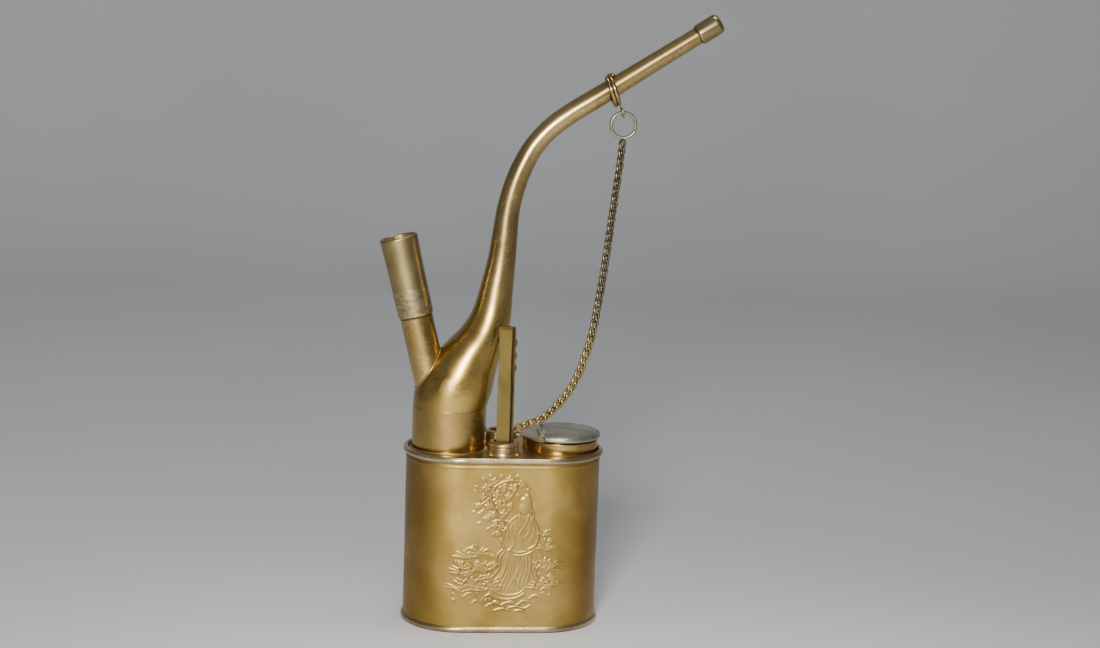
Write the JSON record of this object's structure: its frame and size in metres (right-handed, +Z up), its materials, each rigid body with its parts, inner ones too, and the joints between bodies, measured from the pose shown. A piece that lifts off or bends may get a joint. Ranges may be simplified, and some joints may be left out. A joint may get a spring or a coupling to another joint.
{
  "type": "tobacco water pipe",
  "caption": "Brass tobacco water pipe with an oval case, gooseneck stem, lift-out bowl tube, tobacco box with a hinged lid, tweezers and a chain.",
  "frame": {"origin": "middle of the case's underside, on the surface it stands on", "axes": "+Z up, +X along the case towards the tobacco box and mouthpiece, +Y to the back"},
  "size_m": [0.1506, 0.0546, 0.2768],
  "materials": {
    "brass": "satin brass, rubbed bright on the ridges and brown in the hollows",
    "dark_brass": "tarnished brass, browner and duller",
    "grey_metal": "tarnished white metal, scratched, with a rubbed rim",
    "steel": "plain drawn wire"
  },
  "bodies": {
    "case": {"case_wall": "brass", "base_plate": "brass", "foot_bead": "brass"},
    "deck_unit": {"deck_rim": "brass", "deck_plate": "brass", "chamber_wall": "brass", "chamber_floor": "brass", "gooseneck_stem": "brass", "mouthpiece_ferrule": "brass", "bowl_socket": "brass", "tool_socket_front": "brass", "tool_socket_rear": "brass", "tool_sheath_front": "brass", "tool_sheath_rear": "brass", "tobacco_box": "brass", "half_cover": "brass", "hinge_pin": "steel", "chain_collar": "brass", "collar_eyelet": "brass", "split_ring": "brass", "chain": "dark_brass", "chain_end_ring": "brass"},
    "bowl": {"bowl_sleeve": "dark_brass", "bowl_cup": "dark_brass", "dip_tube": "brass"},
    "lid": {"lid": "grey_metal"},
    "tweezers": {"tweezers": "brass"}
  },
  "joints": [
    {"name": "deck_unit_lift", "type": "slide", "parent": "case", "child": "deck_unit", "axis": [0, 0, 1], "range_m": [0, 0.08]},
    {"name": "bowl_lift", "type": "slide", "parent": "deck_unit", "child": "bowl", "axis": [-0.2395, 0, 0.9709], "range_m": [0, 0.106]},
    {"name": "lid_hinge", "type": "hinge", "parent": "deck_unit", "child": "lid", "pos_m": [0.017, 0, 0.086], "axis": [0, -1, 0], "range_deg": [0, 44]},
    {"name": "tweezers_lift", "type": "slide", "parent": "deck_unit", "child": "tweezers", "axis": [0, 0, 1], "range_m": [0, 0.06]}
  ]
}
